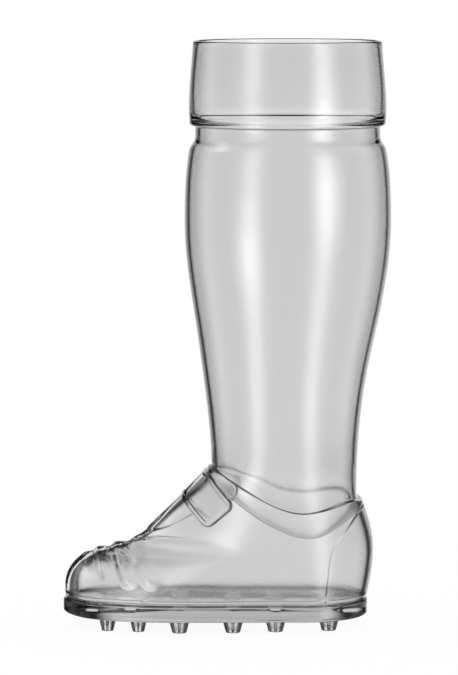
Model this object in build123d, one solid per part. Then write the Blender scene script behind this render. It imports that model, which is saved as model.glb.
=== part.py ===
from build123d import *
import math
import os

# Beer boot glass: a tall drinking glass blown in the shape of a footballer's leg,
# with a turned-down sock cuff at the mouth and a studded football boot for a foot.
# Millimetres. +Z is up, the toe points along -X, and the table is at Z = 0.
# The origin is on the table, under the middle of the boot's length and width.

# Heights of the whole glass
HEIGHT = 340.0              # table to rim
STUD_HEIGHT = 7.0
SOLE_THICKNESS = 9.5

# The leg, from the rim down, outside
CUFF_HEIGHT = 49.0          # rim to the step under the cuff
RIM_DIAMETER = 108.6
CUFF_DIAMETER = 112.6       # at the step
CUFF_FLARE = 2.0            # bulge of the cuff's side
GROOVE_HEIGHT = 9.0         # straight neck between the cuff and the shoulder
GROOVE_DIAMETER = 106.2
SHOULDER_DROP = 10.0        # from the neck's foot to the calf's start
SHOULDER_DIAMETER = 115.2
SHOULDER_SLOPE = 0.2        # growth of the diameter with depth, at the shoulder
CALF_DROP = 42.0            # from the neck's foot to the calf's widest place
CALF_DIAMETER = 119.0
CALF_FULLNESS = 0.41        # how far the calf holds its width down the taper
SHIN_FULLNESS = 0.37        # how far the ankle holds its width up the taper
ANKLE_DIAMETER = 84.4
ANKLE_RISE = 3.5            # end of the taper over the front of the boot's opening

# The boot's outline
TOE_REACH = 130.0           # leg's axis to the tip of the sole
BALL_BACK = 70.0            # tip of the sole to the widest place of the forefoot
BALL_WIDTH = 78.0
HEEL_BEHIND = 9.0           # leg's axis to where the heel starts to round off
HEEL_WIDTH = 75.0
HEEL_REACH = 46.3           # leg's axis to the back of the upper, at the sole
HEEL_BULGE = 3.9            # how far the heel swells behind that
HEEL_BULGE_HEIGHT = 45.0
SOLE_LEDGE = 1.6            # sole standing out beyond the upper

# The boot's top line, from the toe up to the front of the leg: three straight runs
# and the roundings between them
TOE_CORNER_HEIGHT = 39.0
TOE_ROUNDING = 20.0
VAMP_BACK = 42.2            # tip of the sole to the bend of the vamp
VAMP_HEIGHT = 50.3
VAMP_ROUNDING = 25.0
THROAT_DROP = 2.0           # bend at the leg's front, under the front of the opening
THROAT_ROUNDING = 8.0

# Glass
LEG_WALL = 3.2
BOOT_WALL = 4.0
SOLE_FLOOR = 9.0            # glass under the drink
ANKLE_STEP = 0.8            # boot standing out from the sock at its opening
LIP_ROUNDING = 1.4
CUFF_ROUNDING = 2.0
SOLE_TOP_ROUNDING = 1.5
SOLE_EDGE_ROUNDING = 2.0
TOE_SPRING_LENGTH = 20.0    # length over which the sole lifts at the toe
TOE_SPRING = 1.5

# The boot's opening, as seen from the side
OPENING_FRONT_HEIGHT = 93.5
OPENING_FRONT_SLOPE = -0.55
OPENING_DIP_BEHIND = 11.0   # leg's axis to the lowest place of the opening
OPENING_DIP_HEIGHT = 70.0
OPENING_BACK_HEIGHT = 75.5

# Padded collar round the opening: its depth, and the slope of its lower seam
COLLAR_DIP_BEHIND = 14.0
COLLAR_DIP_DEPTH = 13.3
COLLAR_FRONT_IN = 13.0      # front of the leg to where the seam leaves the tab
COLLAR_FRONT_DEPTH = 16.0
COLLAR_FRONT_SLOPE = -0.8
COLLAR_BACK_DEPTH = 3.5
COLLAR_BACK_SLOPE = 0.75
COLLAR_PROUD = 1.4

# Heel counter: its front line, from the top down
COUNTER_TOP_IN = 1.0        # back of the leg to where the line starts
COUNTER_TOP_DROP = 6.5      # under the back of the opening
COUNTER_KNEE_BEHIND = 25.6  # leg's axis to the line's middle
COUNTER_KNEE_HEIGHT = 48.0
COUNTER_FOOT_BEHIND = 21.6
COUNTER_PROUD = 0.8

# Turned-down tongue: a square on its corner, with a raised border
FLAP_SIDE = 22.0
FLAP_OUT = 2.3              # its middle, out from the front of the opening
FLAP_DROP = 15.7            # its middle, under the throat
FLAP_CORNER = 4.5
FLAP_BORDER = 2.4
FLAP_PROUD = 1.3
FLAP_BORDER_PROUD = 2.1

# Lace strip in front of the tongue: its lower line
STRIP_TOE_BACK = 7.3        # bend of the vamp to the strip's toe end
STRIP_TOE_RISE = 5.3
STRIP_MIDDLE_BACK = 21.8
STRIP_MIDDLE_RISE = 10.3
STRIP_PROUD = 1.4

# Tab behind the tongue, along the opening
TAB_LENGTH = 24.0
TAB_DEPTH = 10.0
TAB_IN = 3.8                # its middle, in from the front of the opening
TAB_DROP = 6.7              # its middle, under the front of the opening
TAB_TURN = -29.0
TAB_CORNER = 4.0
TAB_PROUD = 2.0

# Ribs across the toe, front to rear: distances back from the tip of the sole
RIB_WIDTH = 8.6
RIB_PROUD = 1.4
RIB_TOP_HEIGHT = 60.0       # where their middle lines are aimed, over the toe
RIB_TOP_BACK = {"front": 4.7, "middle": 18.0, "rear": 31.5}
RIB_FOOT_BACK = {"front": 15.2, "middle": 29.4, "rear": 43.0}
RIB_FOOT_HEIGHT = {"front": 31.0, "middle": 27.5, "rear": 25.5}

# Studs of one side. Forefoot: back from the tip of the sole, and in from the ball's
# side. Rear: behind the leg's axis, and in from the heel's side.
STUD_TOP_DIAMETER = 12.2
STUD_FOOT_DIAMETER = 8.3
SMALL_STUDS = ("toe", "fore")
SMALL_STUD_SHARE = 0.82     # of the other studs' diameters
STUD_ROUNDING = 0.7
FOREFOOT_STUDS = {"toe": (26.4, 17.0), "fore": (44.3, 13.5), "ball": (68.0, 9.0)}
REAR_STUDS = {"waist": (-31.1, 8.5), "heel": (-6.5, 12.0), "back": (24.3, 16.5)}

# Levels and places that follow from the sizes
AXIS_X = (TOE_REACH - CALF_DIAMETER / 2) / 2
TIP_X = AXIS_X - TOE_REACH
OPENING_RADIUS = ANKLE_DIAMETER / 2 + ANKLE_STEP
FRONT_X = AXIS_X - OPENING_RADIUS
BACK_X = AXIS_X + OPENING_RADIUS
SOLE_TOP = STUD_HEIGHT + SOLE_THICKNESS
CAVITY_FLOOR = STUD_HEIGHT + SOLE_FLOOR
CUFF_FOOT = HEIGHT - CUFF_HEIGHT
NECK_FOOT = CUFF_FOOT - GROOVE_HEIGHT
CALF_HEIGHT = NECK_FOOT - CALF_DROP
ANKLE_HEIGHT = OPENING_FRONT_HEIGHT + ANKLE_RISE
THROAT_HEIGHT = OPENING_FRONT_HEIGHT - THROAT_DROP
COLLAR_DIP_HEIGHT = OPENING_DIP_HEIGHT - COLLAR_DIP_DEPTH
FLAP_MIDDLE = (FRONT_X - FLAP_OUT, THROAT_HEIGHT - FLAP_DROP)

# Working sizes of the tools that cut the forms
QUARTER_ROUND = 0.5523      # handle of a Bezier quarter of an ellipse
SIDE_RUN = 2.0              # half of the least straight run along the boot's side
SLOPE_STEP = 0.5            # step for reading how the boot's outline changes
STATION_GAP = 18.0          # longest stretch of the top line between outlines
REACH = 200.0               # longer than anything that is cut
LEG_AXIS = Axis((AXIS_X, 0, 0), (0, 0, 1))


def side_prism(face):
    """Side-view face carried right across the boot."""
    return extrude(Plane.XZ * face, amount=REACH, both=True)


def closed_side(*edges):
    """Side-view face bounded by edges that follow each other."""
    return make_face(Wire(list(edges)))


# Leg

def leg_outline(inset):
    """Outer line of the leg from the groove to the ankle, moved inwards by inset."""
    def point(diameter, height):
        return (AXIS_X + diameter / 2 - inset, height)

    shoulder = NECK_FOOT - SHOULDER_DROP
    half_drop = SHOULDER_DROP / 2
    swell = shoulder - CALF_HEIGHT
    taper = CALF_HEIGHT - ANKLE_HEIGHT
    return [
        Line(point(GROOVE_DIAMETER, CUFF_FOOT), point(GROOVE_DIAMETER, NECK_FOOT)),
        Bezier(
            point(GROOVE_DIAMETER, NECK_FOOT),
            point(GROOVE_DIAMETER, NECK_FOOT - half_drop),
            point(SHOULDER_DIAMETER - SHOULDER_SLOPE * half_drop, shoulder + half_drop),
            point(SHOULDER_DIAMETER, shoulder),
        ),
        Bezier(
            point(SHOULDER_DIAMETER, shoulder),
            point(SHOULDER_DIAMETER + SHOULDER_SLOPE * swell / 3, shoulder - swell / 3),
            point(CALF_DIAMETER, CALF_HEIGHT + swell / 3),
            point(CALF_DIAMETER, CALF_HEIGHT),
        ),
        Bezier(
            point(CALF_DIAMETER, CALF_HEIGHT),
            point(CALF_DIAMETER, CALF_HEIGHT - CALF_FULLNESS * taper),
            point(ANKLE_DIAMETER, ANKLE_HEIGHT + SHIN_FULLNESS * taper),
            point(ANKLE_DIAMETER, ANKLE_HEIGHT),
        ),
    ]


def leg_form(inset, foot):
    """Solid of revolution of the leg, from the cuff's step down to the height foot."""
    lines = leg_outline(inset)
    ankle_x = AXIS_X + ANKLE_DIAMETER / 2 - inset
    lines.append(Line((ankle_x, ANKLE_HEIGHT), (ankle_x, foot)))
    lines.append(Line((ankle_x, foot), (AXIS_X, foot)))
    lines.append(Line((AXIS_X, foot), (AXIS_X, CUFF_FOOT)))
    lines.append(Line((AXIS_X, CUFF_FOOT), lines[0] @ 0))
    return revolve(Plane.XZ * closed_side(*lines), LEG_AXIS)


def cuff_form(inset, foot):
    """Solid of revolution of the cuff down to its step, moved inwards by inset."""
    def point(diameter, height):
        return (AXIS_X + diameter / 2 - inset, height)

    rim = point(RIM_DIAMETER, HEIGHT)
    step = point(CUFF_DIAMETER, foot)
    third = (HEIGHT - foot) / 3
    outline = closed_side(
        Bezier(
            rim,
            point(RIM_DIAMETER + CUFF_FLARE, HEIGHT - third),
            point(CUFF_DIAMETER + CUFF_FLARE, foot + third),
            step,
        ),
        Line(step, (AXIS_X, foot)),
        Line((AXIS_X, foot), (AXIS_X, HEIGHT)),
        Line((AXIS_X, HEIGHT), rim),
    )
    return revolve(Plane.XZ * outline, LEG_AXIS)


def rim_cuff():
    """Turned-down sock cuff: the ring that the drinker's lip meets."""
    neck_hole = Pos(AXIS_X, 0, CUFF_FOOT) * Circle(GROOVE_DIAMETER / 2 - LEG_WALL)
    neck = extrude(neck_hole, CUFF_HEIGHT)
    ring = cuff_form(0, CUFF_FOOT) - cuff_form(LEG_WALL, CUFF_FOOT + LEG_WALL) - neck
    lip = ring.edges().filter_by_position(Axis.Z, HEIGHT - 0.01, HEIGHT + 0.01)
    ring = fillet(lip, LIP_ROUNDING)
    skirt = ring.edges().filter_by_position(Axis.Z, CUFF_FOOT - 0.01, CUFF_FOOT + 0.01)
    return fillet(skirt.sort_by(SortBy.RADIUS)[-1:], CUFF_ROUNDING)


# Boot form

def top_line():
    """Middle line of the boot's top, from the toe's foot up to the front of the leg."""
    toe_x = TIP_X + SOLE_LEDGE
    return FilletPolyline(
        (toe_x, SOLE_TOP),
        (toe_x, TOE_CORNER_HEIGHT),
        (TIP_X + VAMP_BACK, VAMP_HEIGHT),
        (FRONT_X, THROAT_HEIGHT),
        (FRONT_X, ANKLE_HEIGHT),
        radius=(TOE_ROUNDING, VAMP_ROUNDING, THROAT_ROUNDING),
    )


TOP_LINE = top_line()


def heel_back(height):
    """How far behind the leg's axis the heel reaches at a height."""
    bulge = HEEL_REACH + HEEL_BULGE
    if height < HEEL_BULGE_HEIGHT:
        rise = max(0.0, (height - SOLE_TOP) / (HEEL_BULGE_HEIGHT - SOLE_TOP))
        return HEEL_REACH + HEEL_BULGE * math.sin(math.pi / 2 * rise)
    rise = min(1.0, (height - HEEL_BULGE_HEIGHT) / (OPENING_BACK_HEIGHT - HEEL_BULGE_HEIGHT))
    return OPENING_RADIUS + (bulge - OPENING_RADIUS) * math.cos(math.pi / 2 * rise)


def boot_arcs(run, proud):
    """Control points of the boot's outline where its top line has run a given length.

    Six cubic arcs go round it: nose to ball, ball to heel side and heel side to heel
    on the left, then the same back along the right.
    """
    point = TOP_LINE @ (run / TOP_LINE.length)
    course = TOP_LINE % (run / TOP_LINE.length)
    nose_x = point.X - course.Y * proud
    height = point.Y + course.X * proud
    share = (height - SOLE_TOP) / (COLLAR_DIP_HEIGHT - SOLE_TOP)
    swell = math.sin(math.pi / 2 * min(1.0, max(0.0, share)))
    ball_x = TIP_X + BALL_BACK + (TOE_REACH - BALL_BACK) * swell - SIDE_RUN
    ball = BALL_WIDTH / 2 + (OPENING_RADIUS - BALL_WIDTH / 2) * swell + proud
    side_x = AXIS_X + HEEL_BEHIND * (1 - swell) + SIDE_RUN
    side = HEEL_WIDTH / 2 + (OPENING_RADIUS - HEEL_WIDTH / 2) * swell + proud
    heel_x = AXIS_X + heel_back(height) + proud
    middle_x = (ball_x + side_x) / 2
    nose_handle = ball_x - QUARTER_ROUND * (ball_x - nose_x)
    heel_handle = side_x + QUARTER_ROUND * (heel_x - side_x)
    left = [
        [(nose_x, 0), (nose_x, QUARTER_ROUND * ball), (nose_handle, ball), (ball_x, ball)],
        [(ball_x, ball), (middle_x, ball), (middle_x, side), (side_x, side)],
        [(side_x, side), (heel_handle, side), (heel_x, QUARTER_ROUND * side), (heel_x, 0)],
    ]
    right = [[(x, -y) for x, y in reversed(arc)] for arc in reversed(left)]
    return [[Vector(x, y, height) for x, y in arc] for arc in left + right]


def outline_face(arcs):
    """Flat face inside a ring of cubic arcs."""
    return Face(Wire([Bezier(*arc) for arc in arcs]))


def boot_stations():
    """Lengths along the top line at which the boot's outline is fixed."""
    stations = [0.0]
    for edge in TOP_LINE.edges():
        parts = math.ceil(edge.length / STATION_GAP)
        start = stations[-1]
        for part in range(parts):
            stations.append(start + edge.length * (part + 1) / parts)
    stations[-1] = TOP_LINE.length
    return stations


def boot_form(proud):
    """The boot as a solid from the sole's top to the ankle, grown outwards by proud."""
    stations = boot_stations()
    rings = [boot_arcs(run, proud) for run in stations]
    slopes = []
    for run in stations:
        before = max(0.0, run - SLOPE_STEP)
        after = min(TOP_LINE.length, run + SLOPE_STEP)
        pairs = zip(boot_arcs(before, proud), boot_arcs(after, proud))
        slopes.append([[(b - a) / (after - before) for a, b in zip(*pair)] for pair in pairs])
    faces = [outline_face(rings[0]), outline_face(rings[-1])]
    for span in range(len(stations) - 1):
        third = (stations[span + 1] - stations[span]) / 3
        for arc in range(len(rings[0])):
            low = rings[span][arc]
            high = rings[span + 1][arc]
            low_handles = [p + d * third for p, d in zip(low, slopes[span][arc])]
            high_handles = [p - d * third for p, d in zip(high, slopes[span + 1][arc])]
            faces.append(Face.make_bezier_surface([low, low_handles, high_handles, high]))
    return Solid(Shell(faces))


def boot_relief(outline, proud):
    """Skin of the boot inside a side-view outline, standing out by proud."""
    return (boot_form(proud) & side_prism(outline)) - BOOT


BOOT = boot_form(0)


# Lines and outlines drawn on the boot, as seen from the side

def below_opening():
    """Everything under the line of the boot's opening."""
    front = (FRONT_X, OPENING_FRONT_HEIGHT)
    dip = (AXIS_X + OPENING_DIP_BEHIND, OPENING_DIP_HEIGHT)
    back = (BACK_X, OPENING_BACK_HEIGHT)
    return closed_side(
        Line((-REACH, OPENING_FRONT_HEIGHT), front),
        Spline(front, dip, back, tangents=[(1, OPENING_FRONT_SLOPE), (1, 0)]),
        Line(back, (REACH, OPENING_BACK_HEIGHT)),
        Line((REACH, OPENING_BACK_HEIGHT), (REACH, 0)),
        Line((REACH, 0), (-REACH, 0)),
        Line((-REACH, 0), (-REACH, OPENING_FRONT_HEIGHT)),
    )


def above_collar_seam():
    """Everything over the seam at the collar's lower side."""
    front = (FRONT_X + COLLAR_FRONT_IN, OPENING_FRONT_HEIGHT - COLLAR_FRONT_DEPTH)
    dip = (AXIS_X + COLLAR_DIP_BEHIND, COLLAR_DIP_HEIGHT)
    back = (BACK_X, OPENING_BACK_HEIGHT - COLLAR_BACK_DEPTH)
    lead = (front[0] - REACH, front[1] - COLLAR_FRONT_SLOPE * REACH)
    return closed_side(
        Line(lead, front),
        Spline(front, dip, back, tangents=[(1, COLLAR_FRONT_SLOPE), (1, COLLAR_BACK_SLOPE)]),
        Line(back, (REACH, back[1])),
        Line((REACH, back[1]), (REACH, lead[1])),
        Line((REACH, lead[1]), lead),
    )


def behind_counter():
    """Everything behind the front line of the heel counter."""
    top = (BACK_X - COUNTER_TOP_IN, OPENING_BACK_HEIGHT - COUNTER_TOP_DROP)
    knee = (AXIS_X + COUNTER_KNEE_BEHIND, COUNTER_KNEE_HEIGHT)
    foot = (AXIS_X + COUNTER_FOOT_BEHIND, SOLE_TOP)
    return closed_side(
        Spline(top, knee, foot, tangents=[(-1, -0.8), (-0.1, -1)]),
        Line(foot, (REACH, SOLE_TOP)),
        Line((REACH, SOLE_TOP), (REACH, top[1])),
        Line((REACH, top[1]), top),
    )


def flap_outline(margin):
    """The turned-down tongue's rounded square, standing on a corner."""
    side = FLAP_SIDE - 2 * margin
    square = RectangleRounded(side, side, FLAP_CORNER - margin)
    return Pos(*FLAP_MIDDLE) * Rot(0, 0, 45) * square


def tab_outline():
    """Rounded tab that runs from under the tongue along the boot's opening."""
    plate = RectangleRounded(TAB_LENGTH, TAB_DEPTH, TAB_CORNER)
    return Pos(FRONT_X + TAB_IN, OPENING_FRONT_HEIGHT - TAB_DROP) * Rot(0, 0, TAB_TURN) * plate


def strip_outline():
    """Lace strip over the instep, running up under the tongue."""
    bend_x = TIP_X + VAMP_BACK
    toe = (bend_x + STRIP_TOE_BACK, VAMP_HEIGHT + STRIP_TOE_RISE)
    middle = (bend_x + STRIP_MIDDLE_BACK, VAMP_HEIGHT + STRIP_MIDDLE_RISE)
    end = (FLAP_MIDDLE[0] - FLAP_SIDE / 4, FLAP_MIDDLE[1] - FLAP_SIDE / 4)
    over_end = (end[0] - FLAP_SIDE, end[1] + FLAP_SIDE)
    over_toe = (toe[0] - FLAP_SIDE / 3, toe[1] + FLAP_SIDE)
    return closed_side(
        Spline(toe, middle, end),
        Line(end, over_end),
        Line(over_end, over_toe),
        Line(over_toe, toe),
    )


def rib_outline(name):
    """Slanting bar with a round foot, from over the toe down its sides."""
    top = Vector(TIP_X + RIB_TOP_BACK[name], RIB_TOP_HEIGHT)
    foot = Vector(TIP_X + RIB_FOOT_BACK[name], RIB_FOOT_HEIGHT[name])
    slant = math.degrees(math.atan2(top.Y - foot.Y, top.X - foot.X))
    bar = SlotCenterToCenter((top - foot).length, RIB_WIDTH)
    middle = (top + foot) / 2
    return Pos(middle.X, middle.Y) * Rot(0, 0, slant) * bar


# Sole and studs

def sole():
    """Slab with rounded edges, lifting a little at the toe, with the drink's floor in it."""
    plan = outline_face(boot_arcs(0, SOLE_LEDGE))
    slab = extrude(plan, amount=SOLE_THICKNESS, dir=(0, 0, -1))
    spring_start = (TIP_X + TOE_SPRING_LENGTH, STUD_HEIGHT)
    spring_end = (TIP_X, STUD_HEIGHT + TOE_SPRING)
    lift = TangentArc(spring_start, spring_end, tangent=(-1, 0))
    wedge = closed_side(
        lift,
        Line(spring_end, (-REACH, spring_end[1])),
        Line((-REACH, spring_end[1]), (-REACH, STUD_HEIGHT)),
        Line((-REACH, STUD_HEIGHT), spring_start),
    )
    slab = slab - side_prism(wedge)
    rim = slab.edges().filter_by_position(Axis.Z, SOLE_TOP - 0.01, SOLE_TOP + 0.01)
    slab = fillet(rim, SOLE_TOP_ROUNDING)
    low = slab.edges().filter_by(lambda edge: edge.bounding_box().max.Z < SOLE_TOP - SOLE_TOP_ROUNDING - 0.01)
    tread = low.filter_by(lambda edge: edge.geom_type != GeomType.LINE)
    thin = SOLE_THICKNESS - TOE_SPRING - SOLE_TOP_ROUNDING
    slab = fillet(tread, min(SOLE_EDGE_ROUNDING, 0.9 * thin))
    drink_floor = outline_face(boot_arcs(0, -BOOT_WALL))
    return slab - extrude(drink_floor, amount=SOLE_TOP - CAVITY_FLOOR, dir=(0, 0, -1))


def stud(place_x, place_y, share):
    """Tapered stud standing on the table under the sole."""
    cone = Cone(share * STUD_FOOT_DIAMETER / 2, share * STUD_TOP_DIAMETER / 2, STUD_HEIGHT)
    foot = cone.edges().sort_by(Axis.Z)[:1]
    return Pos(place_x, place_y, STUD_HEIGHT / 2) * fillet(foot, STUD_ROUNDING)


# Pieces

below = side_prism(below_opening())
over_seam = side_prism(above_collar_seam())
flap_area = side_prism(flap_outline(0))
tab_area = side_prism(tab_outline())
boot_hollow = boot_form(-BOOT_WALL)
leg_foot = OPENING_DIP_HEIGHT - 2 * LEG_WALL

pieces = {}
pieces["rim_cuff"] = rim_cuff()
pieces["sock_leg"] = leg_form(0, leg_foot) - leg_form(LEG_WALL, leg_foot) - below
pieces["boot_upper"] = (BOOT & below) - boot_hollow
pieces["sole"] = sole()

pieces["ankle_collar"] = (boot_form(COLLAR_PROUD) & below & over_seam) - BOOT - flap_area - tab_area
pieces["heel_counter"] = boot_relief(behind_counter(), COUNTER_PROUD) - over_seam
pieces["lace_strip"] = boot_relief(strip_outline(), STRIP_PROUD) - flap_area
pieces["collar_tab"] = (boot_relief(tab_outline(), TAB_PROUD) & below) - flap_area

flap_well = boot_form(FLAP_BORDER_PROUD) & side_prism(flap_outline(FLAP_BORDER))
flap_plate = boot_relief(flap_outline(0), FLAP_BORDER_PROUD)
pieces["tongue_flap"] = flap_plate - (flap_well - boot_form(FLAP_PROUD))

for name in RIB_TOP_BACK:
    pieces["toe_rib_" + name] = boot_relief(rib_outline(name), RIB_PROUD)

stud_places = {}
for name, (back, inset) in FOREFOOT_STUDS.items():
    stud_places[name] = (TIP_X + back, BALL_WIDTH / 2 - inset)
for name, (behind, inset) in REAR_STUDS.items():
    stud_places[name] = (AXIS_X + behind, HEEL_WIDTH / 2 - inset)
for name, (stud_x, stud_y) in stud_places.items():
    share = SMALL_STUD_SHARE if name in SMALL_STUDS else 1.0
    pieces["stud_" + name + "_left"] = stud(stud_x, stud_y, share)
    pieces["stud_" + name + "_right"] = stud(stud_x, -stud_y, share)

os.makedirs("parts", exist_ok=True)
for name, piece in pieces.items():
    export_step(piece, "parts/" + name + ".step")
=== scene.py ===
# %% [markdown]
# # A beer boot glass
# The real object is one piece of clear glass: a sock leg with a turned-down cuff, and
# under it a studded football boot, all hollow and blown in one mould. The frame holds
# it as separate solids, zone by zone. Drawn like that, every joint between two zones
# would show inside the glass as a mirror, so here one unbroken skin stands for them all.

# %% Load the frame
import math

import bmesh
import bpy
import numpy as np
from mathutils import Matrix, Vector


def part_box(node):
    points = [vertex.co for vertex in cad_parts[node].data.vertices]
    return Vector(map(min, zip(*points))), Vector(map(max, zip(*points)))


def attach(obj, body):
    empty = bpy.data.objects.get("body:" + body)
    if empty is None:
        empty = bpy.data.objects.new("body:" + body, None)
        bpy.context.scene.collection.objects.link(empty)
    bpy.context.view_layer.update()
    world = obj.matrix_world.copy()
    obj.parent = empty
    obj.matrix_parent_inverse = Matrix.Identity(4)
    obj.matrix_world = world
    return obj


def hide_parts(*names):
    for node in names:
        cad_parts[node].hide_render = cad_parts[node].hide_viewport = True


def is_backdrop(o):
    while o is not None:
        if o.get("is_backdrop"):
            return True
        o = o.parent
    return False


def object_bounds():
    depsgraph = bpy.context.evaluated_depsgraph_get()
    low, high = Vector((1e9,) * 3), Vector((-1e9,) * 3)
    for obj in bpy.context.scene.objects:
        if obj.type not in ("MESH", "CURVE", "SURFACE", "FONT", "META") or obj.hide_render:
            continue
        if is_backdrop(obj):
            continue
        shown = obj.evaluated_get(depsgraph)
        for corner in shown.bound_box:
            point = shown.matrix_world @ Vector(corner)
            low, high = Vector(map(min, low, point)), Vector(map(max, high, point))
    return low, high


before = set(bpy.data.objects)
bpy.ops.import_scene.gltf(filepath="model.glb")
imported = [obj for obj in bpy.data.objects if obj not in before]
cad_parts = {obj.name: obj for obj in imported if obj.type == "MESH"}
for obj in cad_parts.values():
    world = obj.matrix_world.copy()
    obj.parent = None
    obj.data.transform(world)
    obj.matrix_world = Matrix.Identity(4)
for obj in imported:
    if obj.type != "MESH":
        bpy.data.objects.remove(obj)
cad_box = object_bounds()
MM = 0.001
print("frame of", len(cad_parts), "nodes, height", round(cad_box[1].z / MM, 1), "mm")

# %% [markdown]
# The main levels and widths come from the frame's own boxes, so the skin lies where the
# solids are. They are read in millimetres, which are handier for glass than metres, and
# the finished skin is scaled once at the end.


# %% Main sizes, from the frame
def box_mm(node):
    """Lowest and highest corner of a solid, in millimetres."""
    low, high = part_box(node)
    return low / MM, high / MM


cuff_low, cuff_high = box_mm("rim_cuff")
_, leg_high = box_mm("sock_leg")
sole_low, sole_high = box_mm("sole")

AXIS_X = (cuff_low.x + cuff_high.x) / 2
RIM_HEIGHT = cuff_high.z
CUFF_FOOT = cuff_low.z
CALF_SWELL = 0.35
CALF_RADIUS = leg_high.y + CALF_SWELL
TIP_X = sole_low.x
SOLE_TOP = sole_high.z
TREAD = sole_low.z
print("leg axis at x", round(AXIS_X, 2), "sole from", round(TREAD, 2), "to", round(SOLE_TOP, 2))

# %% [markdown]
# ## The leg's profile
# A leg of glass is round, so half of its section says everything. It is drawn as a chain
# of Bezier curves, the way a mould maker would lay them out: each joint between two
# curves has one direction, because glass shows every kink as a line. The leg also leans a
# little, as in the photograph, so each height has an offset of its own.

# %% Leg profile
RIM_RADIUS = 54.6
CUFF_RADIUS = 56.8
CUFF_FLARE = 1.0
GROOVE_RADIUS = 53.5
NECK_LENGTH = 5.6
NECK_FOOT = CUFF_FOOT - NECK_LENGTH
SHOULDER_DROP = 9.5
SHOULDER_RADIUS = 57.3
SHOULDER_SLOPE = 0.17
CALF_DROP = 49.8
CALF_HEIGHT = NECK_FOOT - CALF_DROP
CALF_FULLNESS = 0.303
SHIN_FULLNESS = 0.423
ANKLE_RADIUS = 42.4
ANKLE_HEIGHT = 97.0
ANKLE_SLOPE = 0.041
LEG_WALL = 2.7
ANKLE_WALL = 2.9
LIP_ROUND = 1.2
CUFF_ROUND = 2.0
CREASE_ROUND = 0.8
CUFF_STEPS = 10
OUTER_STEPS = 10
INNER_STEPS = 8
NECK_DROPS = [2.5, 4.0]
ANKLE_LEAN = -1.2
LEAN = [(40.0, 0, 0), (72.0, ANKLE_LEAN, 0), (ANKLE_HEIGHT, ANKLE_LEAN, 0), (150.0, -0.9, 0.03),
        (185.0, 0.25, 0.02), (240.0, 0.65, 0), (RIM_HEIGHT, 0.3, 0)]


def bezier(start, leave, arrive, end, parts):
    """Points of a cubic curve, without its first one."""
    share = np.linspace(0, 1, parts + 1)[1:, None]
    ends = [np.array(p, float) for p in (start, leave, arrive, end)]
    weights = [(1 - share) ** 3, 3 * share * (1 - share) ** 2, 3 * share**2 * (1 - share), share**3]
    return [tuple(p) for p in sum(w * p for w, p in zip(weights, ends))]


def arc(middle, radius, first, last, parts):
    """Points of a circular arc between two angles in degrees, both ends with it."""
    turns = np.radians(np.linspace(first, last, parts + 1))
    return [(middle[0] + radius * math.cos(a), middle[1] + radius * math.sin(a)) for a in turns]


def leg_curves(wall, ankle_wall, parts):
    """Radius and height down the leg, from the neck to the ankle, moved in by a wall."""
    def at(radius, height):
        return (radius - wall, height)

    shoulder = NECK_FOOT - SHOULDER_DROP
    half_drop = SHOULDER_DROP / 2
    swell = shoulder - CALF_HEIGHT
    taper = CALF_HEIGHT - ANKLE_HEIGHT
    ankle = ANKLE_RADIUS - ankle_wall
    return (
        [at(GROOVE_RADIUS, NECK_FOOT)]
        + bezier(at(GROOVE_RADIUS, NECK_FOOT), at(GROOVE_RADIUS, NECK_FOOT - half_drop),
                 at(SHOULDER_RADIUS - SHOULDER_SLOPE * half_drop, shoulder + half_drop),
                 at(SHOULDER_RADIUS, shoulder), parts)
        + bezier(at(SHOULDER_RADIUS, shoulder),
                 at(SHOULDER_RADIUS + SHOULDER_SLOPE * swell / 3, shoulder - swell / 3),
                 at(CALF_RADIUS, CALF_HEIGHT + swell / 3), at(CALF_RADIUS, CALF_HEIGHT), parts)
        + bezier(at(CALF_RADIUS, CALF_HEIGHT), at(CALF_RADIUS, CALF_HEIGHT - CALF_FULLNESS * taper),
                 (ankle + ANKLE_SLOPE * SHIN_FULLNESS * taper, ANKLE_HEIGHT + SHIN_FULLNESS * taper),
                 (ankle, ANKLE_HEIGHT), 2 * parts)
    )


def cuff_curve(inset, top, foot):
    """Radius and height down the side of the cuff, between two heights."""
    third = (top - foot) / 3
    start = (RIM_RADIUS - inset, top)
    end = (CUFF_RADIUS - inset, foot)
    leave = (start[0] + CUFF_FLARE, top - third)
    arrive = (end[0] + CUFF_FLARE, foot + third)
    return bezier(start, leave, arrive, end, CUFF_STEPS)


def hermite(x, knots):
    """Smooth line through (place, value, slope) knots, straight beyond both ends."""
    places, values, slopes = np.array(knots, float).T
    span = np.clip(np.searchsorted(places, x) - 1, 0, len(places) - 2)
    width = places[span + 1] - places[span]
    t = np.clip((x - places[span]) / width, 0, 1)
    low = values[span] * (2 * t**3 - 3 * t**2 + 1) + slopes[span] * width * (t**3 - 2 * t**2 + t)
    high = values[span + 1] * (3 * t**2 - 2 * t**3) + slopes[span + 1] * width * (t**3 - t**2)
    beyond = np.where(x < places[0], slopes[0] * (x - places[0]), 0)
    beyond = beyond + np.where(x > places[-1], slopes[-1] * (x - places[-1]), 0)
    return low + high + beyond


lip_height = RIM_HEIGHT - LIP_ROUND
outside = arc((RIM_RADIUS - LIP_ROUND, lip_height), LIP_ROUND, 90, 0, 6)
outside += cuff_curve(0, lip_height, CUFF_FOOT + CUFF_ROUND)
outside += arc((CUFF_RADIUS - CUFF_ROUND, CUFF_FOOT + CUFF_ROUND), CUFF_ROUND, -15, -90, 6)
outside += arc((GROOVE_RADIUS + CREASE_ROUND, CUFF_FOOT - CREASE_ROUND), CREASE_ROUND, 90, 180, 4)
outside += [(GROOVE_RADIUS, CUFF_FOOT - drop) for drop in NECK_DROPS]
outside += leg_curves(0, 0, OUTER_STEPS)

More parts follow.
